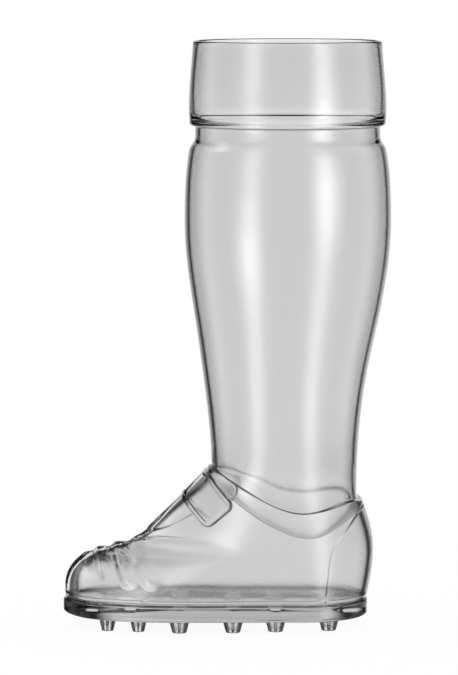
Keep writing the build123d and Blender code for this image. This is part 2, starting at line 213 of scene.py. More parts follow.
inside = arc((RIM_RADIUS - LEG_WALL + LIP_ROUND, lip_height), LIP_ROUND, 90, 180, 6)
inside += cuff_curve(LEG_WALL, lip_height, CUFF_FOOT + 3 * LEG_WALL)
neck_in = GROOVE_RADIUS - LEG_WALL
inside += bezier(inside[-1], (inside[-1][0], CUFF_FOOT + LEG_WALL), (neck_in, CUFF_FOOT + LEG_WALL),
                 (neck_in, CUFF_FOOT - LEG_WALL / 2), INNER_STEPS)
inside += leg_curves(LEG_WALL, ANKLE_WALL, INNER_STEPS)
print("leg profile:", len(outside), "points outside,", len(inside), "inside")

# %% [markdown]
# ## The boot's form
# Every level cut through the boot is a rounded outline: half an ellipse at the toe, half
# an ellipse at the heel and nearly straight sides. Its front follows the boot's top line
# as seen from the side, its back follows the heel, and its width grows from the sole to
# the round opening for the leg. Seen from the leg's axis, each direction meets such an
# outline once, so one function gives the distance, and no list of points is needed. The
# hollow is the same form, made smaller: its wall is thicker at the nose and thinner at the
# heel, as blown glass is.

# %% Boot form
OPENING_GAP = 0.6
OPENING_RADIUS = ANKLE_RADIUS + OPENING_GAP
FRONT_X = AXIS_X - OPENING_RADIUS
BACK_X = AXIS_X + OPENING_RADIUS
SOLE_LEDGE = 1.0
TOE_X = TIP_X + SOLE_LEDGE
TOP_CORNERS = [(TOE_X, SOLE_TOP - 12), (TOE_X, 39.0), (TIP_X + 42.2, 50.3), (FRONT_X, 91.5), (FRONT_X, 110.0)]
TOP_ROUNDINGS = [20.0, 25.0, 8.0]
BALL_X = TIP_X + 70.0
BALL_HALF = 39.0
HEEL_X = AXIS_X + 9.0
HEEL_HALF = 37.5
HEEL_REACH = 46.3
HEEL_BULGE = 3.9
BULGE_HEIGHT = 45.0
OPENING_BACK_HEIGHT = 75.5
FULL_HEIGHT = 56.7
SIDE_RUN = 2.0
BOOT_WALL = 4.0
TOE_TAPER = 0.5
HOLLOW_TAPER = 0.12
HOLLOW_HEEL = 0.85
HEEL_LEVELS = [75.0, ANKLE_HEIGHT]
HOLLOW_NOSE = [1.35, 1.15, 1.1, 1.25, 1.25, 1.0]
NOSE_LEVELS = [32.0, 42.0, 50.0, 60.0, 80.0, ANKLE_HEIGHT]
TAPER_LEVELS = [(17.0, 0, 0), (46.0, 1, 0), (54.0, 1, 0), (88.0, 0, 0)]
LINE_SPACING = 0.03
HALVINGS = 22
FLANK_ROUNDS = 8
TINY = 1e-6


def rounded_line(corners, roundings, spacing):
    """Dense points of straight runs with tangent arcs between them, and their directions."""
    points, courses = [], []
    start = Vector(corners[0])
    for here, after, radius in zip(corners[1:], corners[2:], roundings):
        here, after = Vector(here), Vector(after)
        before, onward = (here - start).normalized(), (after - here).normalized()
        turn = before.angle_signed(onward)
        reach = radius * math.tan(abs(turn) / 2)
        stop = here - before * reach
        for step in np.arange(0, (stop - start).length, spacing):
            points.append(start + before * step)
            courses.append(before)
        side = -math.copysign(1.0, turn)
        middle = stop + Vector((-before.y, before.x)) * radius * side
        for step in np.arange(0, radius * abs(turn), spacing):
            heading = Matrix.Rotation(side * step / radius, 2) @ before
            points.append(middle - Vector((-heading.y, heading.x)) * radius * side)
            courses.append(heading)
        start = here + onward * reach
    last = Vector(corners[-1]) - start
    for step in np.arange(0, last.length, spacing):
        points.append(start + last.normalized() * step)
        courses.append(last.normalized())
    return np.array(points), np.array(courses)


top_points, top_courses = rounded_line(TOP_CORNERS, TOP_ROUNDINGS, LINE_SPACING)


def nose_x(height, proud):
    """Where the boot's top line is at a height, on a form grown by proud."""
    height, proud = np.broadcast_arrays(height, proud)
    found = np.empty(height.shape)
    for size in np.unique(proud):
        x = top_points[:, 0] - top_courses[:, 1] * size
        z = top_points[:, 1] + top_courses[:, 0] * size
        found[proud == size] = np.interp(height[proud == size], z, x)
    return found


def heel_back(height):
    """How far behind the leg's axis the heel reaches at a height."""
    low = np.clip((height - SOLE_TOP) / (BULGE_HEIGHT - SOLE_TOP), 0, 1)
    high = np.clip((height - BULGE_HEIGHT) / (OPENING_BACK_HEIGHT - BULGE_HEIGHT), 0, 1)
    under = HEEL_REACH + HEEL_BULGE * np.sin(np.pi / 2 * low)
    over = OPENING_RADIUS + (HEEL_REACH + HEEL_BULGE - OPENING_RADIUS) * np.cos(np.pi / 2 * high)
    return np.where(height < BULGE_HEIGHT, under, over)


def ellipse_hit(cos, sin, middle, long, wide):
    """Distance from the leg's axis to an ellipse whose middle lies off along X."""
    off = AXIS_X - middle
    a = (cos / long) ** 2 + (sin / wide) ** 2
    b = off * cos / long**2
    c = (off / long) ** 2 - 1
    return (-b + np.sqrt(np.maximum(b * b - a * c, 0))) / a


def toe_hit(cos, sin, middle, long, wide, taper):
    """Distance to the toe's half ellipse, which a taper draws in towards its tip."""
    low = np.maximum((middle - AXIS_X) / np.minimum(cos, -TINY), 0)
    high = ellipse_hit(cos, sin, middle, long, wide)
    for _ in range(HALVINGS):
        half = (low + high) / 2
        ahead = ((middle - AXIS_X - half * cos) / long) ** 2
        inside = half * sin < wide * np.sqrt(np.maximum(1 - ahead, 0)) * (1 - taper * ahead)
        low = np.where(inside, half, low)
        high = np.where(inside, high, half)
    return (low + high) / 2


def boot_radius(angle, height, proud):
    """Distance from the leg's axis to the boot's skin, grown outwards by proud."""
    cos, sin = np.cos(angle), np.abs(np.sin(angle))
    share = np.clip((height - SOLE_TOP) / (FULL_HEIGHT - SOLE_TOP), 0, 1)
    swell = np.sin(np.pi / 2 * share)
    ball_x = BALL_X + (AXIS_X - BALL_X) * swell - SIDE_RUN
    ball = BALL_HALF + (OPENING_RADIUS - BALL_HALF) * swell + proud
    side_x = HEEL_X + (AXIS_X - HEEL_X) * swell + SIDE_RUN
    side = HEEL_HALF + (OPENING_RADIUS - HEEL_HALF) * swell + proud
    taper = (TOE_TAPER + HOLLOW_TAPER * (proud < 0)) * hermite(height, TAPER_LEVELS)
    thicker = np.round(np.interp(height, NOSE_LEVELS, HOLLOW_NOSE), 2)
    nose = nose_x(height, np.where(proud < 0, thicker * proud, proud))
    toe = toe_hit(cos, sin, ball_x, ball_x - nose, ball, taper)
    thinner = np.interp(height, HEEL_LEVELS, [HOLLOW_HEEL, 1])
    back = AXIS_X + heel_back(height) + np.where(proud < 0, thinner * proud, proud)
    heel = ellipse_hit(cos, sin, side_x, back - side_x, side)
    flank = side / np.maximum(sin, TINY)
    for _ in range(FLANK_ROUNDS):
        along = np.clip((AXIS_X + flank * cos - ball_x) / (side_x - ball_x), 0, 1)
        flank = (ball + (side - ball) * along**2 * (3 - 2 * along)) / np.maximum(sin, TINY)
    radius = np.where(AXIS_X + flank * cos < ball_x, toe, flank)
    return np.where(AXIS_X + flank * cos > side_x, heel, radius)


print("boot: toe", round(float(boot_radius(np.pi, SOLE_TOP, 0.0)), 1), "mm before the leg's axis")

# %% [markdown]
# ## The blank
# The blank is one profile, spun round the leg's axis. It starts in the middle of the
# floor under the drink, climbs the inside, goes over the lip and comes down the outside,
# past a small groove, to the edge of the sole. Each level keeps a number, so that the next
# step knows which level a vertex belongs to. Levels are (form, size, height, share): a
# turned level has a radius, a boot level is grown by a size, and a foot level is the sole's
# outline, grown by a size and drawn in towards the axis by a share.

# %% Spin the blank
LEVEL_GAP = 2.2
AROUND = 168
FLOOR_DROP = 0.3
CAVITY_FLOOR = SOLE_TOP - FLOOR_DROP
FLOOR_ROUND = 2.5
SOLE_TOP_ROUND = 1.5
SOLE_EDGE_ROUND = 1.5
SOLE_GROOVE = 0.7
FAR_GROOVE = 0.3
FLOOR_SHARES = (0, 0.1, 0.2, 0.35, 0.5, 0.65, 0.8, 0.9, 0.97)
TREAD_RIM = 0.6
TURNED, BOOT, FOOT = 0, 1, 2

climb = np.linalg.norm(np.diff(top_points, axis=0), axis=1).cumsum()
first = np.searchsorted(top_points[:, 1], SOLE_TOP + 2 * SOLE_GROOVE)
last = np.searchsorted(top_points[:, 1], ANKLE_HEIGHT)
steps = math.ceil((climb[last] - climb[first]) / LEVEL_GAP)
boot_levels = np.interp(np.linspace(climb[first], climb[last], steps + 1), climb, top_points[1:, 1])

WALL_LEVELS = [80.0, ANKLE_HEIGHT]
wall_ends = [BOOT_WALL, ANKLE_WALL + OPENING_RADIUS - ANKLE_RADIUS]
floor_in = -BOOT_WALL - FLOOR_ROUND
levels = [(FOOT, floor_in, CAVITY_FLOOR, s) for s in FLOOR_SHARES]
for size, height in arc((floor_in, CAVITY_FLOOR + FLOOR_ROUND), FLOOR_ROUND, -90, 0, 6):
    levels.append((FOOT, size, height, 1))
hollow_levels = [height for height in boot_levels[:-1:2] if height > CAVITY_FLOOR + FLOOR_ROUND + 1]
levels += [(BOOT, -float(np.interp(height, WALL_LEVELS, wall_ends)), height, 1) for height in hollow_levels]
levels += [(TURNED, radius, height, 1) for radius, height in reversed(inside)]
lip = len(levels)
levels += [(TURNED, radius, height, 1) for radius, height in outside]
levels += [(BOOT, 0, height, 1) for height in reversed(boot_levels[:-1])]
crease = arc((0, SOLE_TOP + SOLE_GROOVE), SOLE_GROOVE, 90, 270, 8)[1:]
sole_start = len(levels)
levels += [(FOOT, size, height, 1) for size, height in crease]
shoulder_in = SOLE_LEDGE - SOLE_TOP_ROUND
for size, height in arc((shoulder_in, SOLE_TOP - SOLE_TOP_ROUND), SOLE_TOP_ROUND, 60, 0, 4):
    levels.append((FOOT, max(size, crease[-1][0]), height, 1))
levels += [(FOOT, SOLE_LEDGE, (SOLE_TOP + TREAD) / 2, 1)]
edge_in = SOLE_LEDGE - SOLE_EDGE_ROUND
levels += [(FOOT, size, height, 1) for size, height in
           arc((edge_in, TREAD + SOLE_EDGE_ROUND), SOLE_EDGE_ROUND, 0, -90, 7)]
levels += [(FOOT, edge_in - TREAD_RIM, TREAD, 1)]

skin = bmesh.new()
level_of = skin.verts.layers.int.new("level")
last_vert = None
for number, (form, size, height, share) in enumerate(levels):
    radius = size
    if form == BOOT:
        radius = float(boot_radius(0.0, height, size))
    if form == FOOT:
        radius = share * float(boot_radius(0.0, SOLE_TOP, size))
    vert = skin.verts.new((radius, 0, height))
    vert[level_of] = number
    if last_vert:
        skin.edges.new((last_vert, vert))
    last_vert = vert
bmesh.ops.spin(skin, geom=skin.verts[:] + skin.edges[:], cent=(0, 0, 0), axis=(0, 0, 1),
               angle=2 * math.pi, steps=AROUND, use_merge=True, use_duplicate=False)
bmesh.ops.remove_doubles(skin, verts=[v for v in skin.verts if v[level_of] == 0], dist=0.001)
print("blank:", len(levels), "levels,", len(skin.faces), "faces")

# %% [markdown]
# ## Into the mould
# A glass blower closes the mould round the blank and blows it out to the mould's wall.
# The same happens here: each vertex keeps its level and its direction from the axis, and
# moves out or in to the form's distance. The directions are drawn together towards the
# toe, which is far from the axis and would be thinly covered. The groove over the sole is
# shallower on the far side, whose lines the photograph doesn't show through the glass.

# %% Blow the blank out to the boot's form
TOE_DRAW = 0.35


def gather(verts):
    """Coordinates of vertices as an array."""
    return np.array([v.co for v in verts])


def place(verts, points):
    """Moves vertices to the points of an array."""
    for vert, point in zip(verts, points):
        vert.co = point


verts = skin.verts[:]
co = gather(verts)
rows = np.array([levels[v[level_of]] for v in verts], float)
form, size, height, share = rows.T
angle = np.arctan2(co[:, 1], co[:, 0])
angle = angle + TOE_DRAW * np.sin(angle)
grown = np.where(form == TURNED, 0, size)
numbers = np.array([v[level_of] for v in verts])
in_groove = (numbers >= sole_start) & (height > SOLE_TOP) & (grown < 0)
grown = np.where(in_groove, grown * (1 - (1 - FAR_GROOVE) * np.clip(2 * np.sin(angle), 0, 1)), grown)
boot = boot_radius(angle, height, grown)
foot = share * boot_radius(angle, np.maximum(height, SOLE_TOP), grown)
radius = np.where(form == TURNED, size, np.where(form == BOOT, boot, foot))
lean = np.where((form == TURNED) | (numbers < lip), hermite(height, LEAN), 0)
place(verts, np.column_stack([AXIS_X + lean + radius * np.cos(angle), radius * np.sin(angle), height]))
for face in skin.faces:
    face.material_index = int(all(v[level_of] <= lip for v in face.verts))
print("blown out to", round(radius.max(), 1), "mm from the axis")

# %% [markdown]
# ## The lines on the boot
# The collar, the heel counter, the turned-down tongue, the lace strip, the tab and the toe
# ribs are low relief, drawn by the mould maker as a side view and carried through to both
# sides. Here each one is a signed distance in that view: positive inside the outline,
# negative outside, in millimetres. A distance is easy to turn into a soft-edged step. A toe
# rib is a fold: a face that climbs across a bent line, and a soft fall behind it.


# %% Outlines in the side view
def over_line(x, y, knots):
    """Distance over a smooth line, measured square to it."""
    slope = (hermite(x + SLOPE_STEP, knots) - hermite(x - SLOPE_STEP, knots)) / (2 * SLOPE_STEP)
    return (y - hermite(x, knots)) / np.sqrt(1 + slope**2)


def in_plate(x, y, middle, long, wide, corner, turn):
    """Distance inside a rounded rectangle that is turned by an angle in degrees."""
    cos, sin = math.cos(math.radians(turn)), math.sin(math.radians(turn))
    along = np.abs((x - middle[0]) * cos + (y - middle[1]) * sin) - (long / 2 - corner)
    across = np.abs((y - middle[1]) * cos - (x - middle[0]) * sin) - (wide / 2 - corner)
    outer = np.hypot(np.maximum(along, 0), np.maximum(across, 0))
    return corner - outer - np.minimum(np.maximum(along, across), 0)


def behind_line(x, y, corners):
    """Distance behind a line of two straight runs that is drawn from its top to its foot."""
    found = np.full(x.shape, np.inf)
    for top, foot in zip(corners, corners[1:]):
        run = np.subtract(foot, top)
        share = np.clip(((x - top[0]) * run[0] + (y - top[1]) * run[1]) / (run @ run), 0, 1)
        off = np.hypot(x - top[0] - share * run[0], y - top[1] - share * run[1])
        side = np.sign(run[0] * (y - top[1]) - run[1] * (x - top[0]))
        found = np.where(off < np.abs(found), side * off, found)
    return found


OPENING = [(FRONT_X, 93.5, -0.42), (20.0, 79.2, -0.55), (AXIS_X + 11, 70.7, 0.0), (69.0, 75.0, 0.2),
           (BACK_X, 74.0, -0.4)]
SEAM = [(FRONT_X + 13, 77.5, -0.78), (27.0, 63.3, -0.5), (AXIS_X + 14, 56.7, 0.02), (68.0, 64.5, 0.6),
        (BACK_X, 72.0, 0.75)]
COUNTER = [(SOLE_TOP, AXIS_X + 21.6, 0.1), (33.0, 58.6, 0.1), (48.0, AXIS_X + 25.6, 0.3),
           (58.4, 68.2, 0.9), (69.0, BACK_X - 1, 1.1)]
FLAP_MIDDLE = (FRONT_X - 2.9, 75.8)
FLAP_LENGTH = 23.6
FLAP_WIDTH = 21.6
FLAP_TURN = -48
FLAP_CORNER = 4.5
FLAP_BORDER = 2.4
TAB_MIDDLE = (FRONT_X + 3.8, 86.8)
TAB_LENGTH = 24.0
TAB_WIDTH = 10.0
TAB_CORNER = 4.0
TAB_TURN = -29
STRIP_TOE = (TIP_X + 49.5, 55.6)
STRIP_LINE = [(*STRIP_TOE, 0.2), (TIP_X + 64, 60.6, 0.55), (FLAP_MIDDLE[0] - 5.5, 70.0, 0.75)]
STRIP_TOE_LEAN = -0.33
RIBS = {"front": [(5.0, 54.0), (9.5, 43.0), (14.5, 33.0)],
        "middle": [(15.0, 56.0), (18.6, 44.0), (22.7, 28.5)],
        "rear": [(26.5, 60.0), (29.3, 46.0), (36.4, 25.5)],
        "last": [(37.5, 64.0), (42.6, 38.5), (50.4, 24.0)]}
RIB_FACE = 4.0
RIB_LENGTH = 7.0
SLOPE_STEP = 0.1


def outlines(x, z):
    """Signed distances of every outline at side-view places."""
    lines = {
        "boot": -over_line(x, z, OPENING),
        "collar": over_line(x, z, SEAM),
        "counter": over_line(z, x, COUNTER),
        "tab": in_plate(x, z, TAB_MIDDLE, TAB_LENGTH, TAB_WIDTH, TAB_CORNER, TAB_TURN),
        "flap": in_plate(x, z, FLAP_MIDDLE, FLAP_LENGTH, FLAP_WIDTH, FLAP_CORNER, FLAP_TURN),
        "well": in_plate(x, z, FLAP_MIDDLE, FLAP_LENGTH - 2 * FLAP_BORDER, FLAP_WIDTH - 2 * FLAP_BORDER,
                         FLAP_CORNER - FLAP_BORDER, FLAP_TURN),
    }
    for name, corners in RIBS.items():
        lines[name] = RIB_FACE / 2 - np.abs(behind_line(x - TIP_X, z, corners))
    strip_front = (x - STRIP_TOE[0] - STRIP_TOE_LEAN * (z - STRIP_TOE[1])) / math.hypot(1, STRIP_TOE_LEAN)
    strip_back = FLAP_MIDDLE[0] - x
    lines["strip"] = np.minimum(np.minimum(over_line(x, z, STRIP_LINE), strip_front), strip_back)
    return lines


print("outlines:", ", ".join(outlines(np.array([0.0]), np.array([0.0]))))

# %% [markdown]
# A crisp step needs small faces, but only along the outlines. So the faces there are
# divided three times, each time in a narrower band, and the new vertices are put back on
# the boot's form.

# %% Divide the faces along the outlines
BANDS = [2.4, 1.3, 0.8]
FINE_EDGE = 0.44
SLACK = 0.01


def on_boot(points):
    """Which points lie on the outer skin of the boot."""
    angle = np.arctan2(points[:, 1], points[:, 0] - AXIS_X)
    radius = np.hypot(points[:, 0] - AXIS_X, points[:, 1])
    inner = boot_radius(angle, points[:, 2], -BOOT_WALL / 2)
    over_groove = points[:, 2] > SOLE_TOP + 2 * SOLE_GROOVE - SLACK
    return over_groove & (points[:, 2] < ANKLE_HEIGHT + SLACK) & (radius > inner)


def seat_on_boot(verts):
    """Moves vertices of the outer skin out to the boot's form, at their own level."""
    co = gather(verts)
    angle = np.arctan2(co[:, 1], co[:, 0] - AXIS_X)
    radius = boot_radius(angle, co[:, 2], 0.0)
    place(verts, np.column_stack([AXIS_X + radius * np.cos(angle), radius * np.sin(angle), co[:, 2]]))


for band in BANDS:
    skin.verts.index_update()
    co = gather(skin.verts)
    near = np.min([np.abs(d) for d in outlines(co[:, 0], co[:, 2]).values()], axis=0)
    wanted = on_boot(co)
    edges = []
    for edge in skin.edges:
        a, b = edge.verts[0].index, edge.verts[1].index
        if wanted[a] and wanted[b] and min(near[a], near[b]) < band and edge.calc_length() > FINE_EDGE:
            edges.append(edge)
    made = bmesh.ops.subdivide_edges(skin, edges=edges, cuts=1, use_grid_fill=True)
    seat_on_boot([g for g in made["geom_inner"] if isinstance(g, bmesh.types.BMVert)])
print("skin divided to", len(skin.faces), "faces")

# %% [markdown]
# Now the relief. Each outline raises the skin along the direction that the boot's form
# faces, by the height of that piece of relief. The opening is different: above it the skin
# steps back to the round leg. Later pieces lie over earlier ones, as the turned-down tongue
# lies over the collar. The steps are wider and softer on the far side, whose lines hardly
# show through the glass in the photograph.

# %% Raise the relief
EDGE_SOFT = 0.85
LEDGE_SOFT = 1.0
FAR_SOFT = 2.6
LEDGE = [(FRONT_X, 0.9, 0), (AXIS_X + 11, 0.3, 0), (BACK_X, 0.9, 0)]
FLARE_HEIGHT = 9.0
NECK_IN_LENGTH = 24.0
PROUD = {"collar": 1.0, "counter": 0.45, "tab": 0.6}
FLAP_PROUD = [(62.0, 1.0, 0.06), (76.0, 2.0, 0.08), (90.0, 3.0, 0.06)]
WELL_DEPTH = 0.8
COLLAR_SWELL = 0.9
COLLAR_DEPTH = 13.0
STRIP_EDGE = 0.45
STRIP_RIDGE = 1.2
STRIP_DEPTH = 10.0
RIB_PROUD = {"front": 0.6, "middle": 1.6, "rear": 1.6, "last": 0.9}
RIB_ROOT = 1.0
RIB_FADE = 7.0
RIB_CURVE = 1.5
FACING_STEP = 0.2


def soft_step(distance, width):
    """0 outside and 1 inside, rising over a width across the outline."""
    t = np.clip(distance / width + 0.5, 0, 1)
    return t * t * (3 - 2 * t)


def relief(x, z, soft):
    """How far the skin stands proud of the boot's form."""
    lines = outlines(x, z)
    collar = soft_step(lines["collar"], soft)
    raised = PROUD["counter"] * soft_step(lines["counter"], soft) * (1 - collar)
    across = np.clip(lines["collar"] / COLLAR_DEPTH, 0, 1)
    raised = raised + (PROUD["collar"] + COLLAR_SWELL * 4 * across * (1 - across)) * collar
    raised = raised + PROUD["tab"] * soft_step(lines["tab"], soft)
    up_strip = np.clip(over_line(x, z, STRIP_LINE) / STRIP_DEPTH, 0, 1)
    layers = [("strip", STRIP_EDGE + (STRIP_RIDGE - STRIP_EDGE) * up_strip)]
    flap = hermite(z, FLAP_PROUD)
    layers += [("flap", flap), ("well", flap - WELL_DEPTH)]
    for name, top in layers:
        cover = soft_step(lines[name], soft)
        raised = raised * (1 - cover) + top * cover
    for name, corners in RIBS.items():
        behind = behind_line(x - TIP_X, z, corners) / RIB_FACE + 0.5
        climb = np.sin(np.clip(behind, 0, 1) * math.pi / 2) ** RIB_CURVE
        fall = np.clip(1 - (behind - 1) * RIB_FACE / RIB_LENGTH, 0, 1)
        fall = np.where(behind < 1, 1, fall * fall * (3 - 2 * fall))
        foot = np.clip((z - corners[2][1] + RIB_ROOT) / RIB_FADE, 0, 1)
        raised = raised + RIB_PROUD[name] * climb * fall * foot * foot * (3 - 2 * foot)
    return raised


def facing(angle, height):
    """Direction that the boot's form faces, from how its radius changes."""
    step = FACING_STEP
    turn = step / boot_radius(angle, height, 0.0)
    by_turn = (boot_radius(angle + turn, height, 0.0) - boot_radius(angle - turn, height, 0.0)) / (2 * step)
    by_rise = (boot_radius(angle, height + step, 0.0) - boot_radius(angle, height - step, 0.0)) / (2 * step)
    cos, sin = np.cos(angle), np.sin(angle)
    out = np.column_stack([cos + by_turn * sin, sin - by_turn * cos, -by_rise])
    return out / np.linalg.norm(out, axis=1)[:, None]


verts = skin.verts[:]
co = gather(verts)
chosen = on_boot(co)
verts = [v for v, keep in zip(verts, chosen) if keep]
co = co[chosen]
angle = np.arctan2(co[:, 1], co[:, 0] - AXIS_X)
far = 1 + (FAR_SOFT - 1) * soft_step(co[:, 1], ANKLE_RADIUS)
proud = relief(co[:, 0], co[:, 2], EDGE_SOFT * far)
raised = co + facing(angle, co[:, 2]) * proud[:, None]
under = outlines(co[:, 0], co[:, 2])["boot"]
drop = np.clip(ANKLE_HEIGHT - co[:, 2], 0, NECK_IN_LENGTH)
neck = ANKLE_RADIUS - ANKLE_SLOPE * drop * (1 - drop / (2 * NECK_IN_LENGTH))
spare = np.maximum(np.hypot(co[:, 0] - AXIS_X, co[:, 1]) - neck - hermite(co[:, 0], LEDGE), 0)
around = neck + spare * np.exp(-((np.minimum(under, 0) / FLARE_HEIGHT) ** 2))
leg = np.column_stack([AXIS_X + ANKLE_LEAN + around * np.cos(angle), around * np.sin(angle), co[:, 2]])
below = soft_step(under, LEDGE_SOFT * far)[:, None]
place(verts, leg * (1 - below) + raised * below)
print("relief on", len(verts), "vertices, up to", round(proud.max(), 2), "mm proud")

# %% [markdown]
# ## Sole and studs
# The tread is a flat face with a round hole for each stud. The hole's edge is then drawn
# down, ring by ring, into a tapered stud with a soft root and a rounded foot. At the toe
# the tread curves up a little, so it is cut across there before it is lifted.

# %% Tread and studs
STUD_TOP_RADIUS = 6.1
STUD_FOOT_RADIUS = 4.15
STUD_ROUND = 0.7
STUD_ROOT = 0.6
STUD_SIDES = 40
STUD_BAND = 3.5
SPRING_LENGTH = 20.0
SPRING = 1.5
SPRING_END = 4.0
SPRING_CUTS = 7
SAME_PLACE = 0.001

stud_places = []
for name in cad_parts:
    if name.startswith("stud_"):
        low, high = box_mm(name)
        share = (high.x - low.x) / 2 / STUD_TOP_RADIUS
        stud_places.append(((low + high) / 2, share))

rim_edges = [e for e in skin.edges if e.is_boundary]
stud_rings = []
for middle, share in stud_places:
    ring = bmesh.ops.create_circle(skin, segments=STUD_SIDES, radius=(STUD_TOP_RADIUS + STUD_ROOT) * share,
                                   matrix=Matrix.Translation((middle.x, middle.y, TREAD)))
    stud_rings.append(list({e for v in ring["verts"] for e in v.link_edges}))
filled = bmesh.ops.triangle_fill(skin, use_beauty=True, use_dissolve=False,
                                 edges=rim_edges + [e for ring in stud_rings for e in ring])
tread = {g for g in filled["geom"] if isinstance(g, bmesh.types.BMFace)}
parts = tread | {e for f in tread for e in f.edges} | {v for f in tread for v in f.verts}
for cut in np.linspace(TIP_X + SPRING_LENGTH, TIP_X + SPRING_END, SPRING_CUTS):
    parts = bmesh.ops.bisect_plane(skin, geom=list(parts), dist=SAME_PLACE, plane_co=(cut, 0, 0),
                                   plane_no=(1, 0, 0))["geom"]

slope = (STUD_TOP_RADIUS - STUD_FOOT_RADIUS) / TREAD
root_middle = (STUD_TOP_RADIUS - slope * STUD_ROOT + STUD_ROOT, TREAD - STUD_ROOT)
stud_profile = arc(root_middle, STUD_ROOT, 90, 180, 4)[1:]
foot_start = STUD_FOOT_RADIUS + slope * STUD_ROUND
stud_profile += [(foot_start + slope * STUD_BAND, STUD_ROUND + STUD_BAND)]
stud_profile += arc((foot_start - STUD_ROUND, STUD_ROUND), STUD_ROUND, 0, -90, 4)
stud_profile += [(STUD_FOOT_RADIUS / 2, 0)]
edges = [e for ring in stud_rings for e in ring]
radius = STUD_TOP_RADIUS + STUD_ROOT
for new_radius, height in stud_profile:
    made = bmesh.ops.extrude_edge_only(skin, edges=edges)["geom"]
    edges = [g for g in made if isinstance(g, bmesh.types.BMEdge)]
    for vert in (g for g in made if isinstance(g, bmesh.types.BMVert)):
        middle = min((m for m, _ in stud_places), key=lambda m: (m.xy - vert.co.xy).length)
        vert.co.xy = middle.xy + (vert.co.xy - middle.xy) * new_radius / radius
        vert.co.z = height
    radius = new_radius
bmesh.ops.edgeloop_fill(skin, edges=edges)

straight_top = SOLE_TOP - SOLE_TOP_ROUND
for vert in skin.verts:
    outer = vert[level_of] >= sole_start or abs(vert.co.z - TREAD) < SAME_PLACE
    lift_share = min(1.0, max(0.0, (straight_top - vert.co.z) / (straight_top - TREAD)))
    past = TIP_X + SPRING_LENGTH - vert.co.x
    if outer and past > 0 and vert.co.z < straight_top:
        vert.co.z += SPRING * (past / SPRING_LENGTH) ** 2 * lift_share
print(len(stud_places), "studs,", sum(e.is_boundary for e in skin.edges), "open edges left")

# %% [markdown]
# The skin is one closed shell, so its faces can be turned outwards in one go. It is then
# scaled to metres, shaded smooth and given to the frame's only body in place of all solids.

# %% Finish the skin
bmesh.ops.recalc_face_normals(skin, faces=skin.faces[:])
bmesh.ops.scale(skin, vec=(MM, MM, MM), verts=skin.verts[:])
for face in skin.faces:
    face.smooth = True
mesh = bpy.data.meshes.new("boot_glass")
skin.to_mesh(mesh)
skin.free()
glass = bpy.data.objects.new("boot_glass", mesh)
bpy.context.scene.collection.objects.link(glass)
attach(glass, "root")
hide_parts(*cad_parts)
triangles = sum(len(p.vertices) - 2 for p in mesh.polygons)
print("boot_glass:", len(mesh.vertices), "vertices,", triangles, "triangles")

# %% [markdown]
# ## Clear glass
# Soda glass bends light by about 1.5 and takes a little of it on the way, more in the solid
# sole than in the thin wall. A blown wall is never quite even, so a faint wavy bump makes
# the highlights swim. The outside is painted dark where it is seen at a grazing angle: a
# painted shade that draws the outline. The inside has a look of its own: on the boot's flanks
# it is a little rough, so that the far side doesn't show through in sharp lines, and the floor
# under the drink is clear.


# %% Node helper and glass
GLASS_TINT = (0.828, 0.828, 0.828, 1)
SOLE_TINT = (0.545, 0.545, 0.545, 1)
STUD_TINT = (0.725, 0.725, 0.725, 1)
FLOOR_TINT = (1.0, 1.0, 1.0, 1)
FLOOR_TOP = 18.0
TINT_BLEND = 1.0
# Painted shade: the outside's colour goes this dark at grazing angles, which draws the outline.
EDGE_PAINTED_SHADE = (0.06, 0.06, 0.06, 1)
EDGE_SHADE_FACING = (0.68, 0.84)
BENDING = 1.5
LEG_ROUGH = 0.0
BOOT_ROUGH = 0.19
CLEAR_FLOOR = (0.0168, 0.0185)
FLANK = (0.009, 0.02)
ROUGH_BELOW = 0.105
CLEAR_ABOVE = 0.14
WAVE_SCALE = 28.0
WAVE_DEPTH = 0.00004


def add_node(tree, kind, **settings):
    """Adds a node, with its properties, constant inputs and links given by name."""
    made = tree.nodes.new("ShaderNode" + kind)
    for name, value in settings.items():
        if hasattr(made, name):
            setattr(made, name, value)
            continue
        socket = made.inputs[int(name[1:])] if name[1:].isdigit() else made.inputs[name.replace("_", " ")]
        if isinstance(value, bpy.types.NodeSocket):
            tree.links.new(value, socket)
        else:
            socket.default_value = value
    return made


def new_material(name):
    """Empty material and its output node."""
    material = bpy.data.materials.new(name)
    material.use_nodes = True
    material.node_tree.nodes.clear()
    return material, material.node_tree, material.node_tree.nodes.new("ShaderNodeOutputMaterial")


def passage(tree, value, limits, before, after):
    """Output that passes from one level to another while a value passes between two limits."""
    return add_node(tree, "MapRange", _0=value, _1=limits[0], _2=limits[1], _3=before, _4=after).outputs[0]


def blend(tree, share, first, second):
    """Colour that a share takes from the first colour to the second."""
    return add_node(tree, "Mix", data_type="RGBA", _0=share, _6=first, _7=second).outputs[2]


